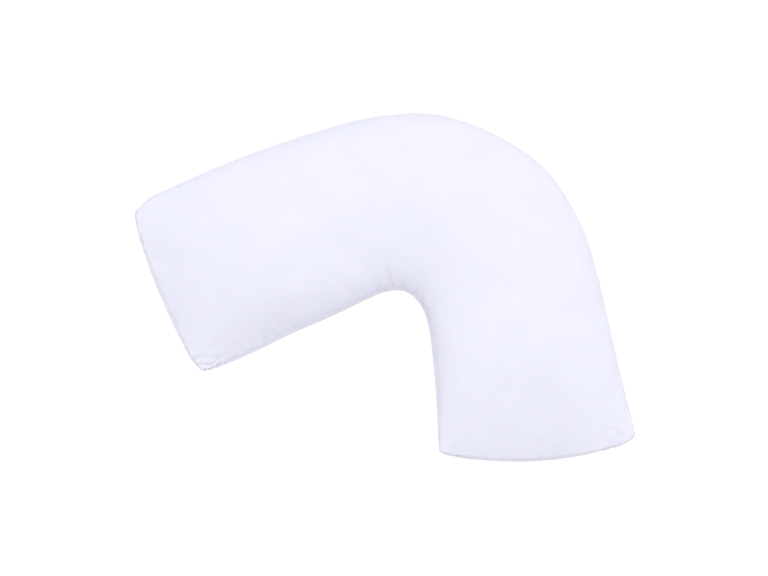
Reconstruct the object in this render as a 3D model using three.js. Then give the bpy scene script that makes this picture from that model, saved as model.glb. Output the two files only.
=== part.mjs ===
// A V-shaped support pillow, lying on its back: two cloth panels of one outline, sewn together all round
// and stuffed with fibre. Both arms and the bend between them are one filled body. The seam runs round it
// at about half its height, the crown rises above it, and the underside is flat where it rests.
//
// Millimetres. Seen from above, +X points right and +Y points away from the arms' open side. +Z is up, and
// the origin is on the surface that the pillow rests on, under the middle of its outline.

import * as THREE from "three";

// One row for each section across the pillow, from the end of the left arm, round the bend, to the end of
// the right arm. The inner edge faces the space between the arms. crown is the height of the top above the
// surface, and seam is the height of the two edge seams.
const SECTIONS = [
  { innerX: -341, innerY: -164, outerX: -482, outerY: 154, crown: 132, seam: 58 },
  { innerX: -259, innerY: -127, outerX: -405, outerY: 196, crown: 146, seam: 66 },
  { innerX: -178, innerY: -86, outerX: -321, outerY: 231, crown: 152, seam: 70 },
  { innerX: -96, innerY: -50, outerX: -238, outerY: 264, crown: 154, seam: 73 },
  { innerX: -20, innerY: -14, outerX: -147, outerY: 293, crown: 157, seam: 76 },
  { innerX: 1, innerY: -7, outerX: -32, outerY: 325, crown: 160, seam: 78 },
  { innerX: 19, innerY: -5, outerX: 91, outerY: 331, crown: 162, seam: 79 },
  { innerX: 37, innerY: -8, outerX: 204, outerY: 294, crown: 163, seam: 80 },
  { innerX: 52, innerY: -18, outerX: 305, outerY: 225, crown: 163, seam: 80 },
  { innerX: 64, innerY: -33, outerX: 371, outerY: 121, crown: 161, seam: 78 },
  { innerX: 73, innerY: -52, outerX: 401, outerY: 29, crown: 160, seam: 76 },
  { innerX: 82, innerY: -88, outerX: 416, outerY: -38, crown: 159, seam: 74 },
  { innerX: 89, innerY: -145, outerX: 431, outerY: -101, crown: 156, seam: 72 },
  { innerX: 94, innerY: -215, outerX: 449, outerY: -172, crown: 150, seam: 68 },
  { innerX: 94, innerY: -318, outerX: 480, outerY: -280, crown: 134, seam: 60 },
];

// Each arm ends in a sewn edge that swells past the straight line between its corners. A high power makes
// a square corner, a low one a drawn-out corner.
const LEFT_END = { swell: 23, innerPower: 6, outerPower: 2 };
const RIGHT_END = { swell: 33, innerPower: 1.35, outerPower: 2.3 };
const END_REACH = 150; // how far the end's curve is felt along the arm

// How the upper panel comes down to its seam. A power of 1 is a round side, and a higher one a flatter side
// that meets the seam at a sharper edge.
const CROWN_RAMP = 220; // how far from an end seam the crown reaches its full height
const CROWN_END_POWER = 2;
const CROWN_OUTER_POWER = 1.3; // on the outer edge; the inner edge is round

// Where the filling has slumped: the middle of each place, its heading in degrees from +X, how far it is
// felt along and across that heading, and how far it has sunk, as a share of its height.
const SLUMPS = [
  { x: -236, y: -114, heading: 25, along: 122, across: 46, share: 0.34 },
  { x: 36, y: -12, heading: 155, along: 70, across: 50, share: 0.04 },
];

const UNDER_RAMP = 165; // how far from an end seam the underside's full section is reached
const SEAM_INSET = 6; // the seam lies this far inside the outline
const SAG = 17; // how far the lower panel spreads past a plain round side, which makes it the outline
const FLAT_SHARE = 0.9; // share of a section's swell at which the underside meets the surface
const UNDER_POWER = 1.8; // how softly the underside curves down to the surface
const SEAM_STIFFNESS = 0.8; // share of a crease's depth that is lost on the seam itself
const SEAM_STRIP = 0.4; // share of a section's swell over which a crease comes to its full depth

// Soft creases in the upper panel. Each starts at x, y beside a seam and runs along its heading, in degrees
// from +X. A negative depth is a ridge.
const CREASES = [
  { x: 11, y: -4, heading: 104, length: 95, width: 13, depth: 5.5 },
  { x: 30, y: -6, heading: 84, length: 120, width: 15, depth: 4 },
  { x: 60, y: -24, heading: 74, length: 100, width: 13, depth: 5 },
  { x: 75, y: -44, heading: 38, length: 85, width: 13, depth: 3.5 },
  { x: -14, y: -12, heading: 118, length: 110, width: 16, depth: 3.5 },
  { x: -52, y: -30, heading: 131, length: 90, width: 15, depth: 3.5 },
  { x: -112, y: -58, heading: 124, length: 60, width: 14, depth: 2.5 },
  { x: -196, y: -96, heading: 106, length: 55, width: 14, depth: 3 },
  { x: -252, y: -121, heading: 122, length: 55, width: 13, depth: 3.5 },
  { x: -300, y: -143, heading: 98, length: 60, width: 13, depth: 4 },
  { x: -356, y: -134, heading: 38, length: 70, width: 12, depth: 4 },
  { x: -452, y: 60, heading: -8, length: 60, width: 15, depth: 2.5 },
  { x: 138, y: -316, heading: 70, length: 50, width: 12, depth: 4 },
  { x: 212, y: -326, heading: 96, length: 45, width: 13, depth: 2.5 },
  { x: 296, y: -325, heading: 104, length: 60, width: 13, depth: 4.5 },
  { x: 346, y: -321, heading: 82, length: 55, width: 12, depth: 4 },
  { x: 420, y: -300, heading: 118, length: 70, width: 14, depth: 4 },
];

const ALONG_STEPS = 90; // grid steps from end to end
const ACROSS_STEPS = 24; // grid steps from the inner seam to the outer one
const END_CROWDING = 0.55; // how much closer the steps lie at the ends

const { clamp, degToRad, lerp, smoothstep } = THREE.MathUtils;

const edgeSpline = (x, y) => new THREE.SplineCurve(SECTIONS.map((row) => new THREE.Vector2(row[x], row[y])));
const innerEdge = edgeSpline("innerX", "innerY");
const outerEdge = edgeSpline("outerX", "outerY");
const heights = edgeSpline("crown", "seam");

// The section at a share of the way from end to end: its two edge points, crown and seam height.
function sectionAt(share) {
  const { x: crown, y: seam } = heights.getPoint(share);
  return { inner: innerEdge.getPoint(share), outer: outerEdge.getPoint(share), crown, seam };
}

// Every section of the grid, with its distance to each end along the middle of the pillow.
function sections() {
  const found = [];
  for (let k = 0; k <= ALONG_STEPS; k += 1) {
    const even = k / ALONG_STEPS;
    const share = even - (END_CROWDING * Math.sin(2 * Math.PI * even)) / (2 * Math.PI);
    found.push(sectionAt(share));
  }
  let travelled = 0;
  found.forEach((section, k) => {
    section.middle = section.inner.clone().lerp(section.outer, 0.5);
    if (k > 0) travelled += section.middle.distanceTo(found[k - 1].middle);
    section.fromLeft = travelled;
  });
  for (const section of found) section.fromRight = travelled - section.fromLeft;
  return found;
}

// A quarter of a round side at an arm's end: 0 at the end seam, 1 once the full height is reached.
function roundEnd(section, reach) {
  const fromEnd = Math.min(section.fromLeft, section.fromRight);
  return Math.sqrt(1 - (1 - clamp(fromEnd / reach, 0, 1)) ** 2);
}

// How far an end seam swells past its chord, from 0 at the corners.
function endSwell(end, across) {
  const power = across < 0.5 ? end.innerPower : end.outerPower;
  return end.swell * (1 - Math.abs(2 * across - 1) ** power) ** (1 / power);
}

// How full the lower panel is at a point, from 0 on a seam to 1 at the middle of an arm.
function swellAt(section, turn) {
  return Math.sin(turn) * roundEnd(section, UNDER_RAMP);
}

// How full the upper panel is at a point, in the same way.
function crownAt(section, turn) {
  const power = lerp(1, CROWN_OUTER_POWER, smoothstep(turn, 0, Math.PI));
  return Math.sin(turn) ** power * roundEnd(section, CROWN_RAMP) ** CROWN_END_POWER;
}

// The share of its height that a place keeps where the filling has slumped.
function keptHeight(plan) {
  let kept = 1;
  for (const slump of SLUMPS) {
    const heading = degToRad(slump.heading);
    const [dx, dy] = [plan.x - slump.x, plan.y - slump.y];
    const along = (dx * Math.cos(heading) + dy * Math.sin(heading)) / slump.along;
    const across = (dy * Math.cos(heading) - dx * Math.sin(heading)) / slump.across;
    kept *= 1 - slump.share * Math.exp(-along * along - across * across);
  }
  return kept;
}

// One point of a panel. turn runs from 0 at the inner seam to PI at the outer one, and side is 1 on the
// upper panel and -1 on the lower one.
function panelPoint(section, turn, side) {
  const across = (1 - Math.cos(turn)) / 2;
  const chord = section.outer.clone().sub(section.inner).normalize();
  const alongArm = new THREE.Vector2(chord.y, -chord.x);
  const plan = section.inner.clone().lerp(section.outer, across);

  const leftPull = 1 - smoothstep(section.fromLeft, 0, END_REACH);
  const rightPull = 1 - smoothstep(section.fromRight, 0, END_REACH);
  plan.addScaledVector(alongArm, rightPull * endSwell(RIGHT_END, across));
  plan.addScaledVector(alongArm, -leftPull * endSwell(LEFT_END, across));

  const swell = swellAt(section, turn);
  const inset = SEAM_INSET - (side > 0 ? 0 : SAG * Math.sin(Math.PI * swell));
  plan.addScaledVector(chord, inset * Math.cos(turn) ** 3);
  plan.addScaledVector(alongArm, inset * (leftPull ** 4 - rightPull ** 4));

  const rise = lerp(section.seam, section.crown, crownAt(section, turn));
  const fall = section.seam * Math.max(0, 1 - swell / FLAT_SHARE) ** UNDER_POWER;
  return new THREE.Vector3(plan.x, plan.y, (side > 0 ? rise : fall) * keptHeight(plan));
}

// How far the creases push a point of the upper panel inwards. Each is a trough between two low ridges
// that is deepest near its start and runs out at its far end.
function creaseDepth(point) {
  let depth = 0;
  for (const crease of CREASES) {
    const heading = degToRad(crease.heading);
    const dx = point.x - crease.x;
    const dy = point.y - crease.y;
    const along = (dx * Math.cos(heading) + dy * Math.sin(heading)) / crease.length;
    const aside = (dy * Math.cos(heading) - dx * Math.sin(heading)) / crease.width;
    if (along > -0.3 && along < 1) {
      const trough = (1 - 0.6 * aside * aside) * Math.exp(-aside * aside);
      depth += crease.depth * trough * smoothstep(along, -0.3, 0.15) * (1 - smoothstep(along, 0.3, 1));
    }
  }
  return depth;
}

// The closed surface: an upper and a lower grid that share the points on the seam.
function pillowGeometry() {
  const grid = sections();
  const positions = [];
  const give = []; // how freely each point follows a crease: none on the lower panel, least on the seam
  function addPoint(section, turn, side) {
    positions.push(...panelPoint(section, turn, side).toArray());
    const freed = smoothstep(swellAt(section, turn), 0, SEAM_STRIP);
    give.push(side > 0 ? lerp(1 - SEAM_STIFFNESS, 1, freed) : 0);
    return give.length - 1;
  }
  const onSeam = (k, j) => k === 0 || k === ALONG_STEPS || j === 0 || j === ACROSS_STEPS;
  const turnAt = (j) => (Math.PI * j) / ACROSS_STEPS;
  const steps = Array.from({ length: ACROSS_STEPS + 1 }, (_, j) => j);
  const upper = grid.map((section) => steps.map((j) => addPoint(section, turnAt(j), 1)));
  const lower = grid.map((section, k) =>
    steps.map((j) => (onSeam(k, j) ? upper[k][j] : addPoint(section, turnAt(j), -1))),
  );

  const triangles = [];
  for (let k = 0; k < ALONG_STEPS; k += 1) {
    for (let j = 0; j < ACROSS_STEPS; j += 1) {
      // The diagonals run into the corners, so that no triangle joins three points of the seam.
      const risingDiagonal = k < ALONG_STEPS / 2 === j < ACROSS_STEPS / 2;
      for (const [panel, facesUp] of [[upper, true], [lower, false]]) {
        const [a, b, c, d] = [panel[k][j], panel[k + 1][j], panel[k + 1][j + 1], panel[k][j + 1]];
        const pair = risingDiagonal ? [[a, b, c], [a, c, d]] : [[a, b, d], [b, c, d]];
        for (const triangle of pair) triangles.push(...(facesUp ? triangle : triangle.reverse()));
      }
    }
  }

  const geometry = new THREE.BufferGeometry();
  geometry.setAttribute("position", new THREE.Float32BufferAttribute(positions, 3));
  geometry.setIndex(triangles);
  pressCreases(geometry, give);
  return geometry;
}

// Pushes each point in along its normal, by the depth of the creases and as far as it gives.
function pressCreases(geometry, give) {
  geometry.computeVertexNormals();
  const position = geometry.getAttribute("position");
  const normal = geometry.getAttribute("normal");
  const point = new THREE.Vector3();
  const outward = new THREE.Vector3();
  give.forEach((share, index) => {
    point.fromBufferAttribute(position, index);
    outward.fromBufferAttribute(normal, index);
    point.addScaledVector(outward, -share * creaseDepth(point));
    position.setXYZ(index, point.x, point.y, point.z);
  });
}

// Moves the geometry so that the middle of its outline is over the origin and its underside is at 0.
function restOnOrigin(geometry) {
  geometry.computeBoundingBox();
  const { min, max } = geometry.boundingBox;
  geometry.translate(-(min.x + max.x) / 2, -(min.y + max.y) / 2, -min.z);
  return geometry;
}

const whiteCotton = new THREE.MeshStandardMaterial({ color: "#f1f1f9", roughness: 0.9, metalness: 0 });
const pillow = new THREE.Mesh(restOnOrigin(pillowGeometry()), whiteCotton);
pillow.name = "pillow";

const group = new THREE.Group();
group.add(pillow);

export default group;
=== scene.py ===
"""A white V-shaped support pillow, lying on its back on a pale floor and seen from straight above."""

import math
from collections import namedtuple

import bmesh
import bpy
import numpy as np
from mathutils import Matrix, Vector, noise


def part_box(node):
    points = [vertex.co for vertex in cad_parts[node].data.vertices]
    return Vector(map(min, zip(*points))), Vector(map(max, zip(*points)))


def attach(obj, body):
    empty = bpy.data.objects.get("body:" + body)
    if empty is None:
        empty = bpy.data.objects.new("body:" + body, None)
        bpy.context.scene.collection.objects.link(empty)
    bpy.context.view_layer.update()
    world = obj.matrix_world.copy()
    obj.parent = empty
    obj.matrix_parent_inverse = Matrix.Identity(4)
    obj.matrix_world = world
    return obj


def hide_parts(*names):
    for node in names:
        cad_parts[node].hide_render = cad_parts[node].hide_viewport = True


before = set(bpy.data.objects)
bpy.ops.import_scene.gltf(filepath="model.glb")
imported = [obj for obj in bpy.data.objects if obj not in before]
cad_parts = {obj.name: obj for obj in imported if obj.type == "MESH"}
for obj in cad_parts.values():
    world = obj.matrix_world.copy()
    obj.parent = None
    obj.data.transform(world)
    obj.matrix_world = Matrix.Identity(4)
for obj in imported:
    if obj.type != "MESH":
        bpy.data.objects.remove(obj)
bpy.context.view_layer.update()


# Camera. The photograph looks straight down on the pillow, so a long lens hangs over it. One pixel is
# 1.9 mm at the height of the seam, where the outline lies.
PIXEL = 0.0019
PHOTO_SIZE = (768, 576)
PILLOW_MIDDLE_PX = (385, 288)  # the middle of the pillow's outline in the photograph
OUTLINE_HEIGHT = 0.06

camera = bpy.data.objects.new("camera", bpy.data.cameras.new("camera"))
bpy.context.scene.collection.objects.link(camera)
camera.data.sensor_width = 36
camera.data.lens = 85
seen_width = PHOTO_SIZE[0] * PIXEL
camera.location = (
    (PHOTO_SIZE[0] / 2 - PILLOW_MIDDLE_PX[0]) * PIXEL,
    (PILLOW_MIDDLE_PX[1] - PHOTO_SIZE[1] / 2) * PIXEL,
    OUTLINE_HEIGHT + seen_width * camera.data.lens / camera.data.sensor_width,
)
bpy.context.scene.camera = camera


# Floor and light. A pale table top that is washed out to plain white for the camera, soft light from all
# round that is weaker towards the lower right, and one large soft lamp high above.
def linear(hex_colour):
    """An sRGB hex colour as linear red, green, blue and alpha."""
    channels = [int(hex_colour[i : i + 2], 16) / 255 for i in (1, 3, 5)]
    return [c / 12.92 if c <= 0.04045 else ((c + 0.055) / 1.055) ** 2.4 for c in channels] + [1]


def add_node(owner, kind, settings=None, links=None):
    """Adds a node to a material or the world. links maps its inputs to other nodes' output sockets."""
    node = owner.node_tree.nodes.new(kind)
    for key, value in (settings or {}).items():
        if isinstance(key, int) or key in node.inputs:
            node.inputs[key].default_value = value
        else:
            setattr(node, key, value)
    for key, socket in (links or {}).items():
        owner.node_tree.links.new(socket, node.inputs[key])
    return node


FLOOR_SIZE = 12.0
FLOOR_LEVEL = -0.0004  # just clear of the cloth that lies on it
WASHED_OUT = 0.5  # light added to the floor that the camera sees
floors = {}
for name, glow in (("floor", WASHED_OUT), ("table_top", 0.0)):
    floor_shape = bmesh.new()
    bmesh.ops.create_grid(floor_shape, x_segments=1, y_segments=1, size=FLOOR_SIZE / 2)
    bmesh.ops.translate(floor_shape, verts=floor_shape.verts, vec=(0, 0, FLOOR_LEVEL))
    floors[name] = bpy.data.objects.new(name, bpy.data.meshes.new(name))
    floor_shape.to_mesh(floors[name].data)
    floor_shape.free()
    bpy.context.scene.collection.objects.link(floors[name])
    white_paint = bpy.data.materials.new(f"matt_white_paint_{name}")
    white_paint.use_nodes = True
    paint_shader = white_paint.node_tree.nodes["Principled BSDF"]
    paint_shader.inputs["Base Color"].default_value = linear("#f8f8f8")
    paint_shader.inputs["Roughness"].default_value = 1.0
    paint_shader.inputs["Specular IOR Level"].default_value = 0.0
    paint_shader.inputs["Emission Color"].default_value = (1, 1, 1, 1)
    paint_shader.inputs["Emission Strength"].default_value = glow
    floors[name].data.materials.append(white_paint)
# The camera sees the washed-out floor alone, and the pillow is lit by the plain table top alone.
floors["floor"].visible_diffuse = False
floors["floor"].visible_glossy = False
floors["floor"].visible_shadow = False
floors["table_top"].visible_camera = False

ROOM_LIGHT = 0.88
DARK_SIDE = math.radians(-70)  # towards the lower right, where nothing throws light back
DARK_LIGHT = 0.38
DARK_FROM, DARK_FULL = 0.45, 0.95  # cosines of the angles to that side between which the light falls
studio = bpy.data.worlds.new("studio")
studio.use_nodes = True
room_way = add_node(studio, "ShaderNodeTexCoord")
towards_dark = add_node(
    studio,
    "ShaderNodeVectorMath",
    {"operation": "DOT_PRODUCT", 1: (math.cos(DARK_SIDE), math.sin(DARK_SIDE), 0)},
    {0: room_way.outputs["Generated"]},
)
room_light = add_node(
    studio,
    "ShaderNodeMapRange",
    {"From Min": DARK_FROM, "From Max": DARK_FULL, "To Min": ROOM_LIGHT, "To Max": DARK_LIGHT},
    {"Value": towards_dark.outputs["Value"]},
)
room_shader = studio.node_tree.nodes["Background"]
room_shader.inputs["Color"].default_value = (1, 1, 1, 1)
studio.node_tree.links.new(room_light.outputs["Result"], room_shader.inputs["Strength"])
bpy.context.scene.world = studio
bpy.context.scene.view_settings.view_transform = "Standard"

lamp = bpy.data.objects.new("soft_lamp", bpy.data.lights.new("soft_lamp", "AREA"))
bpy.context.scene.collection.objects.link(lamp)
lamp.data.shape = "DISK"
lamp.data.size = 4.0
lamp.data.energy = 270
lamp.location = (2.4, 0.8, 10.5)
lamp.rotation_euler = (-lamp.location).to_track_quat("-Z", "Y").to_euler()


# Pillow cover. Two panels of plain woven polycotton, cut to one V outline, sewn together face to face,
# turned out and stuffed with hollow fibre. The seam runs round it at about half its height, the lower
# panel spreads a little past it, and the weight of the filling flattens the underside.
MM = 0.001
pillow_low, pillow_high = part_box("pillow")

# The pillow's sections from the end of the left arm, round the bend, to the end of the right arm, in
# millimetres: its inner and outer edge, its height, the height of its seam, and how much spare cloth the
# seam gathers, from 0 to 1, on each edge.
Section = namedtuple("Section", "inner_x inner_y outer_x outer_y crown seam inner_gather outer_gather")
SECTIONS = [
    Section(-341, -164, -482, 154, 132, 58, 1.0, 0.9),
    Section(-259, -127, -405, 196, 146, 66, 0.9, 0.5),
    Section(-178, -86, -321, 231, 152, 70, 0.5, 0.3),
    Section(-96, -50, -238, 264, 154, 73, 0.4, 0.3),
    Section(-20, -14, -147, 293, 157, 76, 0.6, 0.4),
    Section(1, -7, -32, 325, 160, 78, 1.0, 0.6),
    Section(19, -5, 91, 331, 162, 79, 1.0, 0.9),
    Section(37, -8, 204, 294, 163, 80, 1.0, 0.9),
    Section(52, -18, 305, 225, 163, 80, 1.0, 0.9),
    Section(64, -33, 371, 121, 161, 78, 0.9, 0.7),
    Section(73, -52, 401, 29, 160, 76, 0.6, 0.5),
    Section(82, -88, 416, -38, 159, 74, 0.4, 0.4),
    Section(89, -145, 431, -101, 156, 72, 0.3, 0.4),
    Section(94, -215, 449, -172, 150, 68, 0.4, 0.6),
    Section(94, -318, 480, -280, 134, 60, 0.8, 1.0),
]

# Each arm ends in a sewn edge that swells past the straight line between its corners.
EndShape = namedtuple("EndShape", "swell inner_power outer_power")
LEFT_END = EndShape(23, 6, 2)
RIGHT_END = EndShape(33, 1.35, 2.3)
END_REACH = 150  # how far the end's curve is felt along the arm

# How the upper panel comes down to its seam. A power of 1 is a round side, and a higher one a flatter side
# that meets the seam at a sharper edge.
CROWN_RAMP = 220  # how far from an end seam the crown reaches its full height
CROWN_END_POWER = 2
CROWN_OUTER_POWER = 1.3  # on the outer edge; the inner edge is round

# Where the filling has slumped: the middle of each place, its heading in degrees, how far it is felt along
# and across that heading, and how far it has sunk, as a share of its height.
Slump = namedtuple("Slump", "x y heading along across share")
SLUMPS = [Slump(-236, -114, 25, 122, 46, 0.34), Slump(36, -12, 155, 70, 50, 0.04)]

UNDER_RAMP = 165  # how far from an end seam the underside's full section is reached
SEAM_INSET = 6  # the seam lies this far inside the outline
SAG = 17  # how far the lower panel spreads past a plain round side
FLAT_SHARE = 0.9  # share of a section's swell at which the underside meets the floor
UNDER_POWER = 1.8  # how softly the underside curves down to the floor

ALONG_STEPS = 220
ACROSS_STEPS = 50
END_CROWDING = 0.35  # how much closer the steps lie at the ends


def clamp(value, low=0.0, high=1.0):
    return max(low, min(high, value))


def smooth(value, low, high):
    """0 below low, 1 above high, and a smooth step between them, for one number or an array."""
    share = np.clip((value - low) / (high - low), 0, 1)
    return share * share * (3 - 2 * share)


def mix(first, second, share):
    return first + (second - first) * share


def section_at(share):
    """The section at a share of the way from end to end, on a smooth curve through the listed ones."""
    place = share * (len(SECTIONS) - 1)
    index = min(int(place), len(SECTIONS) - 2)
    t = place - index
    before, start = SECTIONS[max(index - 1, 0)], SECTIONS[index]
    end, after = SECTIONS[index + 1], SECTIONS[min(index + 2, len(SECTIONS) - 1)]
    values = []
    for p0, p1, p2, p3 in zip(before, start, end, after):
        leave, arrive = (p2 - p0) / 2, (p3 - p1) / 2
        cubic = (2 * p1 - 2 * p2 + leave + arrive) * t**3
        values.append(cubic + (3 * p2 - 3 * p1 - 2 * leave - arrive) * t**2 + leave * t + p1)
    return Section(*values)


def even_share(step_share):
    """Evens out the steps along the pillow, with closer ones at its ends."""
    return step_share - END_CROWDING * math.sin(2 * math.pi * step_share) / (2 * math.pi)


def round_end(station, reach):
    """A quarter of a round side at an arm's end: 0 at the end seam, 1 once the full height is reached."""
    from_end = min(station.from_left, station.from_right)
    return math.sqrt(1 - (1 - clamp(from_end / reach)) ** 2)


def kept_height(plan):
    """The share of its height that a place keeps where the filling has slumped."""
    kept = 1
    for slump in SLUMPS:
        heading = math.radians(slump.heading)
        past_x, past_y = plan.x - slump.x, plan.y - slump.y
        along = (past_x * math.cos(heading) + past_y * math.sin(heading)) / slump.along
        across = (past_y * math.cos(heading) - past_x * math.sin(heading)) / slump.across
        kept *= 1 - slump.share * math.exp(-along * along - across * across)
    return kept


def end_swell(end, across):
    power = end.inner_power if across < 0.5 else end.outer_power
    return end.swell * max(0.0, 1 - abs(2 * across - 1) ** power) ** (1 / power)


Station = namedtuple("Station", "section inner outer from_left from_right")


def stations():
    """Every section of the grid, with its distance to each end along the middle of the pillow."""
    found = []
    travelled = 0
    for k in range(ALONG_STEPS + 1):
        section = section_at(even_share(k / ALONG_STEPS))
        inner = Vector((section.inner_x, section.inner_y))
        outer = Vector((section.outer_x, section.outer_y))
        if found:
            travelled += ((inner + outer) / 2 - (found[-1].inner + found[-1].outer) / 2).length
        found.append(Station(section, inner, outer, travelled, 0))
    return [s._replace(from_right=travelled - s.from_left) for s in found]


def panel_point(station, turn, upper):
    """A point of the upper or lower panel, in millimetres. turn runs from 0 at the inner seam to pi."""
    section = station.section
    across = (1 - math.cos(turn)) / 2
    chord = (station.outer - station.inner).normalized()
    along_arm = Vector((chord.y, -chord.x))
    left_pull = 1 - smooth(station.from_left, 0, END_REACH)
    right_pull = 1 - smooth(station.from_right, 0, END_REACH)
    plan = station.inner.lerp(station.outer, across)
    plan += along_arm * (right_pull * end_swell(RIGHT_END, across) - left_pull * end_swell(LEFT_END, across))

    swell = math.sin(turn) * round_end(station, UNDER_RAMP)
    inset = SEAM_INSET - (0 if upper else SAG * math.sin(math.pi * swell))
    plan += chord * inset * math.cos(turn) ** 3
    plan += along_arm * inset * (left_pull**4 - right_pull**4)
    if upper:
        power = mix(1, CROWN_OUTER_POWER, smooth(turn, 0, math.pi))
        fullness = math.sin(turn) ** power * round_end(station, CROWN_RAMP) ** CROWN_END_POWER
        height = mix(section.seam, section.crown, fullness)
    else:
        height = section.seam * max(0.0, 1 - swell / FLAT_SHARE) ** UNDER_POWER
    return Vector((plan.x, plan.y, height * kept_height(plan)))


# Every point of the cover keeps how far it lies from each seam, where along that seam it is, how much cloth
# the seam gathers there, and which panel it belongs to. All lengths are in millimetres.
LAYERS = (
    "from_inner", "from_outer", "from_end",
    "inner_run", "outer_run", "end_run",
    "inner_gather", "outer_gather",
    "upper",
)
LEFT_RUN = 5000  # added to the run along the left end, so that no two seams pucker alike


def running(points, axis):
    """The distance travelled from point to point along one axis of a grid of points."""
    steps = np.linalg.norm(np.diff(points, axis=axis), axis=2)
    return np.pad(np.cumsum(steps, axis=axis), ((1, 0), (0, 0)) if axis == 0 else ((0, 0), (1, 0)))


cover_shape = bmesh.new()
layers = {name: cover_shape.verts.layers.float.new(name) for name in LAYERS}
grain = cover_shape.loops.layers.uv.new("grain")
all_stations = stations()
turns = [math.pi * j / ACROSS_STEPS for j in range(ACROSS_STEPS + 1)]
for upper in (True, False):
    points = np.array([[panel_point(station, turn, upper) for turn in turns] for station in all_stations])
    across_run = running(points, axis=1)
    along_run = running(points, axis=0)
    panel_width = across_run[:, -1:]
    nearer_left = along_run < along_run[-1:] / 2
    values = {
        "from_inner": across_run,
        "from_outer": panel_width - across_run,
        "from_end": np.minimum(along_run, along_run[-1:] - along_run),
        "inner_run": np.repeat(along_run[:, :1], ACROSS_STEPS + 1, axis=1),
        "outer_run": np.repeat(along_run[:, -1:], ACROSS_STEPS + 1, axis=1),
        "end_run": across_run + np.where(nearer_left, LEFT_RUN, 0),
        "upper": np.full(across_run.shape, 1.0 if upper else 0.0),
    }

    made = bmesh.ops.create_grid(
        cover_shape, x_segments=ALONG_STEPS, y_segments=ACROSS_STEPS, size=0.5
    )
    new_faces = {face for vert in made["verts"] for face in vert.link_faces}
    cut_places = {}
    for vert in made["verts"]:
        k = round((vert.co.x + 0.5) * ALONG_STEPS)
        j = round((vert.co.y + 0.5) * ACROSS_STEPS)
        station = all_stations[k]
        vert.co = Vector(points[k, j]) * MM
        for name, value in values.items():
            vert[layers[name]] = value[k, j]
        vert[layers["inner_gather"]] = station.section.inner_gather
        vert[layers["outer_gather"]] = station.section.outer_gather
        chord = (station.outer - station.inner).normalized()
        from_middle = across_run[k, j] - panel_width[k, 0] / 2
        cut_places[vert] = ((station.inner + station.outer) / 2 + chord * from_middle) * MM
    for face in new_faces:
        for loop in face.loops:
            loop[grain].uv = cut_places[loop.vert]
bmesh.ops.remove_doubles(cover_shape, verts=cover_shape.verts, dist=1e-6)
bmesh.ops.recalc_face_normals(cover_shape, faces=cover_shape.faces)
for face in cover_shape.faces:
    face.smooth = True

lows = [min(vert.co[axis] for vert in cover_shape.verts) for axis in (0, 1)]
highs = [max(vert.co[axis] for vert in cover_shape.verts) for axis in (0, 1)]
to_frame = Vector((
    (pillow_low.x + pillow_high.x - lows[0] - highs[0]) / 2,
    (pillow_low.y + pillow_high.y - lows[1] - highs[1]) / 2,
    pillow_low.z,
))
bmesh.ops.translate(cover_shape, verts=cover_shape.verts, vec=to_frame)

cover = bpy.data.objects.new("cover", bpy.data.meshes.new("cover"))
cover_shape.to_mesh(cover.data)
cover_shape.free()
bpy.context.scene.collection.objects.link(cover)


def coordinates(mesh):
    values = np.empty(len(mesh.vertices) * 3)
    mesh.vertices.foreach_get("co", values)
    return values.reshape(-1, 3)


def set_coordinates(mesh, values):
    mesh.vertices.foreach_set("co", np.ascontiguousarray(values).ravel())
    mesh.update()


def normals(mesh):
    values = np.empty(len(mesh.vertices) * 3)
    mesh.vertices.foreach_get("normal", values)
    return values.reshape(-1, 3)


def kept_layers(mesh):
    """The cover's layers as arrays, with the distance to the nearest seam."""
    kept = {}
    for name in LAYERS:
        kept[name] = np.empty(len(mesh.vertices))
        mesh.attributes[name].data.foreach_get("value", kept[name])
    kept["from_seam"] = np.minimum(np.minimum(kept["from_inner"], kept["from_outer"]), kept["from_end"])
    return kept


# The cover is filled by Blender's cloth: the filling presses it out until it settles and wrinkles. The seam
# and the flat underside are held. Its broad swelling is mostly taken out again, because the sections
# already have the filled shape.
PRESSURE = 2.0
STIFFNESS = 40
BENDING = 0.05
HELD_SEAM = 0.8
SEAM_STRIP = 6  # how far from the seam the cloth is held
RESTING = 0.5  # cloth this close to the floor lies on it
RELAX_FRAMES = 24
BROAD_ROUNDS = 50  # rounds of averaging that part the broad swelling from the wrinkles
BROAD_SHARE = 0.2  # share of the broad swelling that is kept
MOST_MOVE = 6.0  # no point moves further than this


def averaged(mesh, values, rounds):
    """Values at the points of a mesh, averaged with their neighbours' a number of times."""
    ends = np.empty(len(mesh.edges) * 2, dtype=int)
    mesh.edges.foreach_get("vertices", ends)
    first, second = ends[0::2], ends[1::2]
    neighbours = np.bincount(ends, minlength=len(values))[:, None]
    for _ in range(rounds):
        total = np.zeros_like(values)
        for axis in range(values.shape[1]):
            total[:, axis] += np.bincount(first, values[second, axis], len(values))
            total[:, axis] += np.bincount(second, values[first, axis], len(values))
        values = (values + total / neighbours) / 2
    return values


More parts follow.
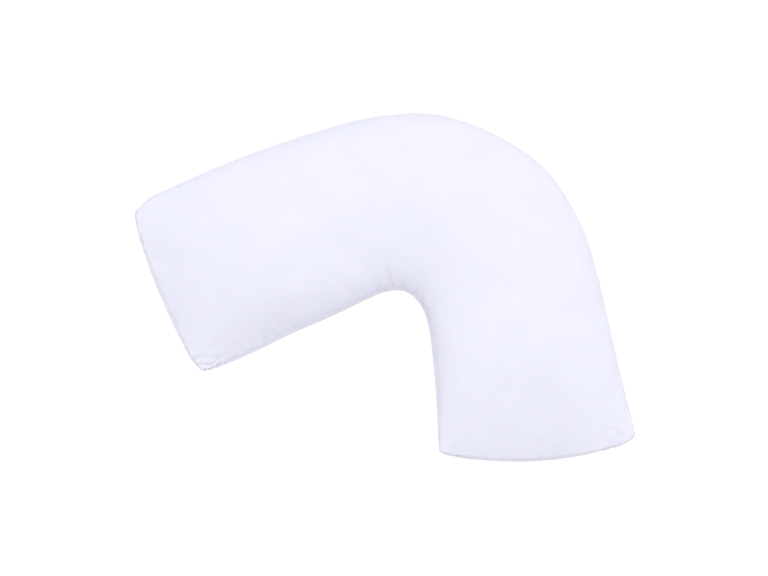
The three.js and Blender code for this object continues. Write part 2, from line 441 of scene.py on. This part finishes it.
def relax(piece):
    """Runs the cloth and gives the points of the filled cover."""
    kept = kept_layers(piece.data)
    start = coordinates(piece.data)
    held = piece.vertex_groups.new(name="held")
    seam_hold = HELD_SEAM * (1 - smooth(kept["from_seam"], 0, SEAM_STRIP))
    holds = np.where(start[:, 2] < RESTING * MM, 1.0, seam_hold)
    for index, hold in enumerate(holds):
        held.add([index], hold, "REPLACE")
    cloth = piece.modifiers.new("filling", "CLOTH")
    settings = cloth.settings
    settings.quality = 8
    settings.mass = 0.15
    settings.tension_stiffness = STIFFNESS
    settings.compression_stiffness = STIFFNESS
    settings.shear_stiffness = 5
    settings.bending_stiffness = BENDING
    settings.effector_weights.gravity = 0
    settings.use_pressure = True
    settings.uniform_pressure_force = PRESSURE
    settings.vertex_group_mass = held.name
    settings.pin_stiffness = 1.0
    settings.air_damping = 3
    cloth.collision_settings.use_collision = False
    cloth.point_cache.frame_end = RELAX_FRAMES + 1
    for step in range(1, RELAX_FRAMES + 1):
        bpy.context.scene.frame_set(step)
    filled = piece.evaluated_get(bpy.context.evaluated_depsgraph_get())
    moves = coordinates(filled.data) - start

    piece.modifiers.remove(cloth)
    piece.vertex_groups.clear()
    bpy.context.scene.frame_set(1)

    broad = averaged(piece.data, moves, BROAD_ROUNDS)
    moves = moves - broad + broad * BROAD_SHARE
    length = np.maximum(np.linalg.norm(moves, axis=1), 1e-9)[:, None]
    return start + moves / length * np.minimum(length, MOST_MOVE * MM)


set_coordinates(cover.data, relax(cover))


# One subdivision gives the finished cover enough points for its seam and small folds.
finer = cover.modifiers.new("finer", "SUBSURF")
finer.levels = 1
finer.render_levels = 1
first_mesh = cover.data
cover.data = bpy.data.meshes.new_from_object(
    cover.evaluated_get(bpy.context.evaluated_depsgraph_get()), preserve_all_data_layers=True,
    depsgraph=bpy.context.evaluated_depsgraph_get(),
)
cover.modifiers.remove(finer)
bpy.data.meshes.remove(first_mesh)

# The folds of the photograph: where each leaves the seam, its heading in degrees, length, width and depth.
Fold = namedtuple("Fold", "x y heading length width depth")
FOLDS = [
    # inner bend
    Fold(11, -4, 104, 95, 13, 5.5),
    Fold(30, -6, 84, 120, 15, 4),
    Fold(60, -24, 74, 100, 13, 5),
    Fold(75, -44, 38, 85, 13, 3.5),
    Fold(-14, -12, 118, 110, 16, 3.5),
    Fold(-52, -30, 131, 90, 15, 3.5),
    # lower edge of the left arm
    Fold(-112, -58, 124, 60, 14, 2.5),
    Fold(-196, -96, 106, 55, 14, 3),
    Fold(-252, -121, 122, 55, 13, 3.5),
    Fold(-300, -143, 98, 60, 13, 4),
    Fold(-356, -134, 38, 70, 12, 4),
    # left end
    Fold(-452, 60, -8, 60, 15, 2.5),
    # right end
    Fold(138, -316, 70, 50, 12, 4),
    Fold(212, -326, 96, 45, 13, 2.5),
    Fold(296, -325, 104, 60, 13, 4.5),
    Fold(346, -321, 82, 55, 12, 4),
    Fold(420, -300, 118, 70, 14, 4),
]
# Sharper, smaller ones that the solid is too plain for.
SMALL_FOLDS = [
    # inner bend
    Fold(12, -2, 108, 46, 5, 2.8),
    Fold(31, -6, 88, 26, 6, 3.5),
    Fold(52, -16, 72, 24, 6, 3.5),
    Fold(66, -30, 92, 40, 4, 2.6),
    Fold(-6, -9, 122, 34, 4, 1.6),
    Fold(-36, -22, 128, 44, 5, 2),
    # the folded corner at the lower left
    Fold(-374, -136, 4, 84, 4, 2.8),
    Fold(-374, -147, -5, 76, 4, 2.6),
    Fold(-338, -152, 36, 62, 4, 2.4),
    Fold(-372, -158, 16, 120, 13, 3.2),
    # lower edge of the left arm
    Fold(-168, -83, 132, 34, 5, 2.6),
    Fold(-206, -100, 118, 32, 5, 3.4),
    Fold(-228, -110, 104, 40, 6, 3.8),
    Fold(-268, -129, 128, 46, 7, 3.8),
    Fold(-286, -137, 108, 38, 6, 3.2),
    Fold(-316, -150, 112, 44, 6, 3.2),
    # right end
    Fold(124, -312, 62, 26, 4, 2),
    Fold(318, -325, 96, 30, 5, 2.4),
    Fold(392, -310, 104, 34, 5, 2),
    Fold(444, -282, 142, 40, 5, 2.4),
]
# How the sewing shapes the left arm's corners: where it draws, how far that is felt, and how far it draws.
Tuck = namedtuple("Tuck", "x y reach draw_x draw_y")
TUCKS = [Tuck(-474, 146, 24, -1, -2), Tuck(-446, 174, 26, -1, 4.5), Tuck(-356, -157, 18, 1, 2.5)]
BROAD_FOLD = 0.75  # the solid's folds are this much narrower in cloth
BROAD_DEPTH = 0.6  # and this much shallower, because the small ones add to them
FOLD_WAVER = 0.5  # how far a fold strays from a straight line, in its own widths
BROAD_SHARPNESS = 1.5  # 2 is a round trough, and 1 comes to a point
SMALL_SHARPNESS = 1.3
FOLD_ON_SEAM = 0.4  # share of a fold's depth that reaches the seam itself
FOLD_RISE = 10  # how far from the seam a fold has its full depth
FOLD_UNDER = 18  # how far past the seam a fold is felt in the lower panel


def noises(columns, size, seed):
    """Smooth noise from -1 to 1 at rows of one to three numbers, whose waves are about size long."""
    rows = np.column_stack(columns + [np.full(len(columns[0]), seed)] * (3 - len(columns))) / size
    return np.array([noise.noise(row) for row in rows])


def fold_depth(plan_x, plan_y, fold, sharpness):
    """How deep a fold is at each place: a wavering trough with a low ridge on each side."""
    heading = math.radians(fold.heading)
    past_x, past_y = plan_x - fold.x, plan_y - fold.y
    along = (past_x * math.cos(heading) + past_y * math.sin(heading)) / fold.length
    aside = (past_y * math.cos(heading) - past_x * math.sin(heading)) / fold.width
    near = np.flatnonzero((along > -0.35) & (along < 1.05) & (abs(aside) < 3))
    along, aside = along[near], aside[near]
    waver = noises([along, np.zeros(len(near))], 0.45, fold.x)
    aside = aside + FOLD_WAVER * waver * np.clip(along, 0, 1)
    trough = (1 - 0.5 * aside**2) * np.exp(-abs(aside) ** sharpness)
    depth = np.zeros(len(plan_x))
    depth[near] = fold.depth * trough * smooth(along, -0.3, 0.12) * (1 - smooth(along, 0.25, 1))
    return depth


# Small pinches cross the seam where its stitches draw the cloth together, in both panels.
PINCH_SPACING = 12
PINCH_DEPTH = 1.5
PINCH_REACH = 26
UPPER_RUN = 700  # added to the run along the upper panel's seams, so that the panels pucker differently
SEAM_DEPTH = 1.7  # the seam is drawn in this far
SEAM_WIDTH = 2.0

# The filling is uneven in broad swells and smaller lumps: how high and how long each kind is, and how far
# its pattern is moved.
UNEVEN = ((1.6, 110, 0), (0.7, 48, 400))
UNEVEN_RISE = 45  # how far from the seam the filling is fully uneven
UNDERSIDE_RISE = 25  # how high above the floor the lower panel is fully uneven, folded and pinched


def pinches(run, distance, gather, seed):
    """How far the cloth is pinched in beside one seam."""
    near = np.flatnonzero(distance < 3 * PINCH_REACH)
    run, distance = run[near], distance[near]
    # The pinches slant one way and the other, and differ in length and strength along the seam.
    slanted = run + distance * noises([run], 70, seed)
    crests = noises([slanted, distance * 0.15], PINCH_SPACING, seed + 0.3)
    reach = PINCH_REACH * (0.65 + 0.6 * noises([run], 40, seed + 0.6))
    strength = PINCH_DEPTH * (1 + 0.8 * noises([run], 90, seed + 0.8)) * gather[near]
    # Each is a narrow crease on the side of a rounder wave.
    pinch = 1.6 * np.clip(1 - abs(crests) * 4.5, 0, 1) - 0.9 * crests
    depth = np.zeros(len(gather))
    depth[near] = strength * pinch * np.exp(-distance / reach)
    return depth


def finish_surface(mesh):
    """Adds the seam, folds, pinches and unevenness of the filling to the finished mesh."""
    kept = kept_layers(mesh)
    points = coordinates(mesh)
    plan_x = (points[:, 0] - to_frame.x) / MM
    plan_y = (points[:, 1] - to_frame.y) / MM
    height = points[:, 2] / MM

    folds = sum(
        fold_depth(
            plan_x,
            plan_y,
            fold._replace(width=fold.width * BROAD_FOLD, depth=fold.depth * BROAD_DEPTH),
            BROAD_SHARPNESS,
        )
        for fold in FOLDS
    )
    folds += sum(fold_depth(plan_x, plan_y, fold, SMALL_SHARPNESS) for fold in SMALL_FOLDS)
    on_top = mix(FOLD_ON_SEAM, 1, smooth(kept["from_seam"], 0, FOLD_RISE))
    under = FOLD_ON_SEAM * (1 - smooth(kept["from_seam"], 0, FOLD_UNDER))
    folds *= mix(under, on_top, np.round(kept["upper"]))

    panel_run = kept["upper"] * UPPER_RUN
    pinched = pinches(kept["inner_run"] + panel_run, kept["from_inner"], kept["inner_gather"], 1)
    pinched += pinches(kept["outer_run"] + panel_run, kept["from_outer"], kept["outer_gather"], 2)
    pinched += pinches(kept["end_run"] + panel_run, kept["from_end"], np.ones(len(panel_run)), 3)
    seam = SEAM_DEPTH * np.exp(-((kept["from_seam"] / SEAM_WIDTH) ** 2))

    place = [plan_x, plan_y, height]
    uneven = sum(
        swell * noises([part + moved for part in place], length, 0) for swell, length, moved in UNEVEN
    )
    lift = uneven * smooth(kept["from_seam"], 0, UNEVEN_RISE) - folds - pinched - seam
    lift *= np.where(kept["upper"] > 0.5, 1.0, smooth(height, 0, UNDERSIDE_RISE))
    points += normals(mesh) * lift[:, None] * MM
    for tuck in TUCKS:
        felt = np.exp(-((plan_x - tuck.x) ** 2 + (plan_y - tuck.y) ** 2) / tuck.reach**2)
        points[:, 0] += tuck.draw_x * felt * MM
        points[:, 1] += tuck.draw_y * felt * MM
    points[:, 2] = np.maximum(points[:, 2], pillow_low.z)
    set_coordinates(mesh, points)


finish_surface(cover.data)

# Woven polycotton, plain weave, white with a faint cold tint from its brightener. It gives a soft, matt
# surface with a little sheen, fine threads both ways, and thicker threads here and there. The grain map
# is the flat cut of each panel in metres. Real threads lie 0.33 mm apart, too fine for any view: they are
# drawn 2.4 mm apart, so that the cloth shows a faint tooth.
THREAD = 2.4 * MM
THREAD_RELIEF = 0.07 * MM
THICK_THREAD = 4.5 * MM
THICK_THREAD_LENGTH = 60 * MM
THICK_THREAD_RELIEF = 0.6  # against a plain thread's 1
THICK_THREAD_SHADE = 0.25  # how much they show in the tint, against the patches' 1
PATCH_SIZE = 70 * MM
TINTS = ((0.45, "#ebebfb"), (0.95, "#efeffd"))

polycotton = bpy.data.materials.new("woven_polycotton")
polycotton.use_nodes = True
cloth_shader = polycotton.node_tree.nodes["Principled BSDF"]
cloth_shader.inputs["Roughness"].default_value = 0.85
cloth_shader.inputs["Specular IOR Level"].default_value = 0.25
cloth_shader.inputs["Sheen Weight"].default_value = 0.08
cloth_shader.inputs["Sheen Roughness"].default_value = 0.5

cut_map = add_node(polycotton, "ShaderNodeUVMap", {"uv_map": "grain"})
cut_place = add_node(polycotton, "ShaderNodeSeparateXYZ", links={"Vector": cut_map.outputs["UV"]})

# A plain weave: warp over weft, then weft over warp, as the product of one wave each way.
waves = []
for way in ("X", "Y"):
    phase = add_node(
        polycotton,
        "ShaderNodeMath",
        {"operation": "MULTIPLY", 1: math.pi / THREAD},
        {0: cut_place.outputs[way]},
    )
    wave = add_node(polycotton, "ShaderNodeMath", {"operation": "SINE"}, {0: phase.outputs["Value"]})
    waves.append(wave.outputs["Value"])
weave = add_node(polycotton, "ShaderNodeMath", {"operation": "MULTIPLY"}, {0: waves[0], 1: waves[1]})

# Thicker threads run a few centimetres along the cloth, one way and the other.
thick_threads = []
for scale in (
    (1 / THICK_THREAD_LENGTH, 1 / THICK_THREAD, 1),
    (1 / THICK_THREAD, 1 / THICK_THREAD_LENGTH, 1),
):
    stretched = add_node(
        polycotton, "ShaderNodeMapping", {"Scale": scale}, {"Vector": cut_map.outputs["UV"]}
    )
    streaks = add_node(
        polycotton,
        "ShaderNodeTexNoise",
        {"Scale": 1.0, "Detail": 1.0},
        {"Vector": stretched.outputs["Vector"]},
    )
    thick_threads.append(streaks.outputs["Fac"])
both_ways = add_node(
    polycotton, "ShaderNodeMath", {"operation": "ADD"}, {0: thick_threads[0], 1: thick_threads[1]}
)
relief = add_node(
    polycotton,
    "ShaderNodeMath",
    {"operation": "MULTIPLY_ADD", 1: THICK_THREAD_RELIEF},
    {0: both_ways.outputs["Value"], 2: weave.outputs["Value"]},
)
tooth = add_node(
    polycotton,
    "ShaderNodeBump",
    {"Strength": 0.6, "Distance": THREAD_RELIEF},
    {"Height": relief.outputs["Value"]},
)

# Where the filling lies thicker behind the cloth, it looks a shade whiter.
patches = add_node(
    polycotton,
    "ShaderNodeTexNoise",
    {"Scale": 1 / PATCH_SIZE, "Detail": 2.0},
    {"Vector": cut_map.outputs["UV"]},
)
shade = add_node(
    polycotton,
    "ShaderNodeMath",
    {"operation": "MULTIPLY_ADD", 1: THICK_THREAD_SHADE},
    {0: both_ways.outputs["Value"], 2: patches.outputs["Fac"]},
)
tint = add_node(polycotton, "ShaderNodeValToRGB", links={"Fac": shade.outputs["Value"]})
for element, (position, colour) in zip(tint.color_ramp.elements, TINTS):
    element.position = position
    element.color = linear(colour)
polycotton.node_tree.links.new(tint.outputs["Color"], cloth_shader.inputs["Base Color"])
polycotton.node_tree.links.new(tooth.outputs["Normal"], cloth_shader.inputs["Normal"])
cover.data.materials.append(polycotton)

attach(cover, "root")
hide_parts("pillow")
